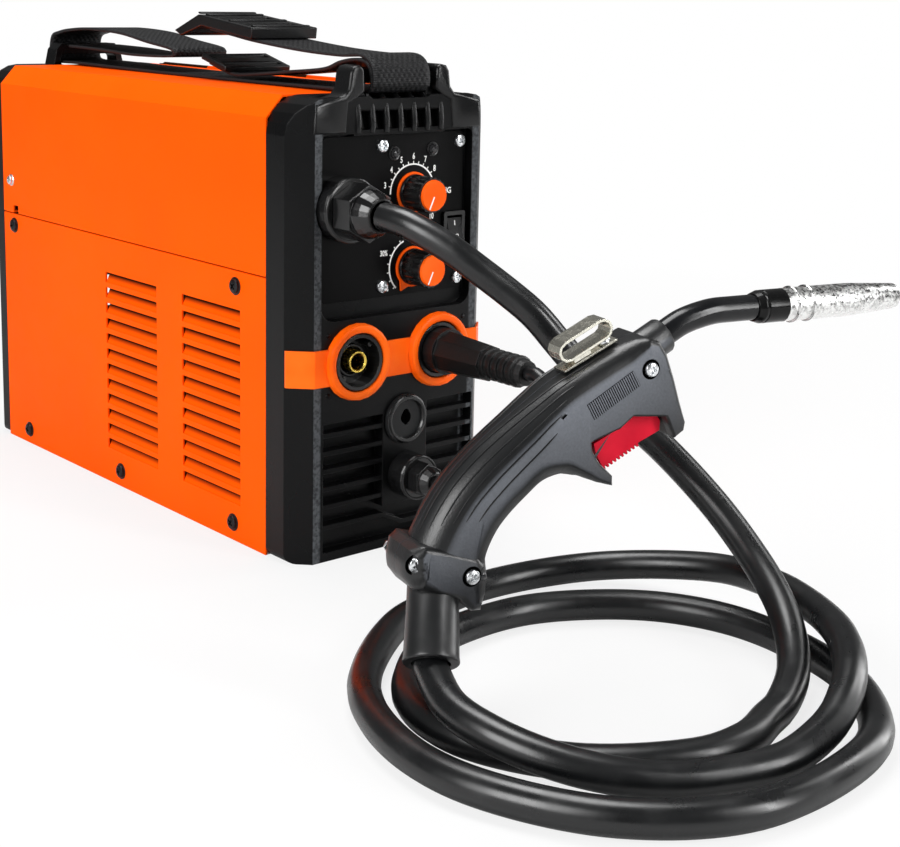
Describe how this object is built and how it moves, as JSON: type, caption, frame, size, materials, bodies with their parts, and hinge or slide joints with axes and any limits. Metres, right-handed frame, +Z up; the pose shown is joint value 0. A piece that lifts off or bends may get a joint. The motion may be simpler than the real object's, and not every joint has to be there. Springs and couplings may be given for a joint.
{
  "type": "portable MIG welding machine",
  "caption": "Portable orange wire-feed welding machine with hinged wire-bay lid, MIG torch on a coiled cable, polarity lead and carry strap.",
  "frame": {"origin": "centre of the case's underside, where it stands on the floor", "axes": "+Z up, +Y from the control panel to the rear, +X to the right seen from the front"},
  "size_m": [0.2939, 0.7111, 0.288],
  "materials": {
    "orange_paint": "satin",
    "orange_plastic": "satin",
    "black_plastic": "satin",
    "black_rubber": "satin",
    "brass": "satin",
    "bright_steel": "satin",
    "zinc_sheet": "satin",
    "webbing": "matte",
    "black_metal": "satin",
    "red_plastic": "satin",
    "board_green": "satin",
    "copper": "satin",
    "lens": "gloss"
  },
  "bodies": {
    "machine": {"base_pan": "zinc_sheet", "bay_wall": "zinc_sheet", "blank_cover": "black_plastic", "carry_strap": "webbing", "carry_strap_upper": "webbing", "colour_band": "orange_plastic", "contact_tip": "copper", "control_plate": "black_plastic", "fan_frame": "black_plastic", "feed_motor": "zinc_sheet", "feeder_body": "black_metal", "front_frame": "black_plastic", "inverter_board": "board_green", "lead_gland_body": "black_plastic", "lead_gland_nut": "black_plastic", "left_lower_panel": "orange_paint", "left_signal_lens": "lens", "left_socket": "black_plastic", "left_socket_contact": "brass", "lid_hinge_pin": "bright_steel", "mains_gland": "black_plastic", "mode_switch": "black_plastic", "polarity_lead": "black_rubber", "polarity_plug": "black_rubber", "polarity_plug_pin": "brass", "power_switch": "black_plastic", "rear_frame": "black_plastic", "right_side_panel": "orange_paint", "right_signal_lens": "lens", "right_socket": "black_plastic", "spool_spindle": "black_plastic", "torch_cable_coil": "black_rubber", "torch_cable_drop": "black_rubber", "torch_cable_tail": "black_rubber", "torch_gland_body": "black_plastic", "torch_gland_nut": "black_plastic", "torch_grip_left": "black_plastic", "torch_grip_right": "black_plastic", "torch_hook": "bright_steel", "torch_insulator": "black_rubber", "torch_neck": "black_rubber", "torch_nozzle": "bright_steel", "torch_sleeve": "black_rubber", "transformer": "black_metal", "wire_bay_deck": "zinc_sheet"},
    "lid_body": {"lid": "orange_paint", "rear_strap_buckle": "black_plastic", "front_strap_buckle": "black_plastic"},
    "upper_knob_body": {"upper_knob": "black_plastic", "upper_knob_cap": "orange_plastic"},
    "lower_knob_body": {"lower_knob": "black_plastic", "lower_knob_cap": "orange_plastic"},
    "mode_rocker_body": {"mode_rocker": "black_plastic"},
    "power_rocker_body": {"power_rocker": "black_plastic"},
    "torch_trigger_body": {"torch_trigger": "red_plastic"},
    "fan_rotor_body": {"fan_rotor": "black_plastic"},
    "wire_spool_body": {"wire_spool": "black_plastic", "wire_winding": "copper"},
    "drive_roller_body": {"drive_roller": "bright_steel"},
    "pressure_roller_body": {"pressure_roller": "bright_steel"}
  },
  "joints": [
    {"name": "lid_hinge", "type": "hinge", "parent": "machine", "child": "lid_body", "pos_m": [0.0502, 0, 0.2494], "axis": [0, 1, 0], "range_deg": [0, 100], "deforming": ["carry_strap", "carry_strap_upper"]},
    {"name": "upper_knob_turn", "type": "hinge", "parent": "machine", "child": "upper_knob_body", "pos_m": [0.0125, -0.1663, 0.1968], "axis": [0, 1, 0], "range_deg": [0, 280]},
    {"name": "lower_knob_turn", "type": "hinge", "parent": "machine", "child": "lower_knob_body", "pos_m": [0.0125, -0.1663, 0.156], "axis": [0, 1, 0], "range_deg": [0, 280]},
    {"name": "mode_rocker_tilt", "type": "hinge", "parent": "machine", "child": "mode_rocker_body", "pos_m": [0.0414, -0.163, 0.1745], "axis": [1, 0, 0], "range_deg": [0, 14]},
    {"name": "power_rocker_tilt", "type": "hinge", "parent": "machine", "child": "power_rocker_body", "pos_m": [-0.038, 0.1811, 0.196], "axis": [-1, 0, 0], "range_deg": [0, 14]},
    {"name": "trigger_squeeze", "type": "hinge", "parent": "machine", "child": "torch_trigger_body", "pos_m": [-0.01389, -0.37162, 0.1225], "axis": [0.2385, 0.9711, 0], "range_deg": [0, 5], "stiffness_Nm_per_rad": 0.6, "springref_deg": -2.86},
    {"name": "fan_turn", "type": "hinge", "parent": "machine", "child": "fan_rotor_body", "pos_m": [0, 0.1788, 0.062], "axis": [0, 1, 0], "continuous": true},
    {"name": "spool_turn", "type": "hinge", "parent": "machine", "child": "wire_spool_body", "pos_m": [-0.037, 0.07, 0.1902], "axis": [1, 0, 0], "continuous": true},
    {"name": "drive_roller_turn", "type": "hinge", "parent": "machine", "child": "drive_roller_body", "pos_m": [-0.037, -0.075, 0.176], "axis": [1, 0, 0], "continuous": true},
    {"name": "pressure_roller_turn", "type": "hinge", "parent": "machine", "child": "pressure_roller_body", "pos_m": [-0.037, -0.075, 0.203], "axis": [1, 0, 0], "continuous": true}
  ],
  "couplings": [
    {"joint": "pressure_roller_turn", "follows": "drive_roller_turn", "ratio": -1.3636}
  ]
}
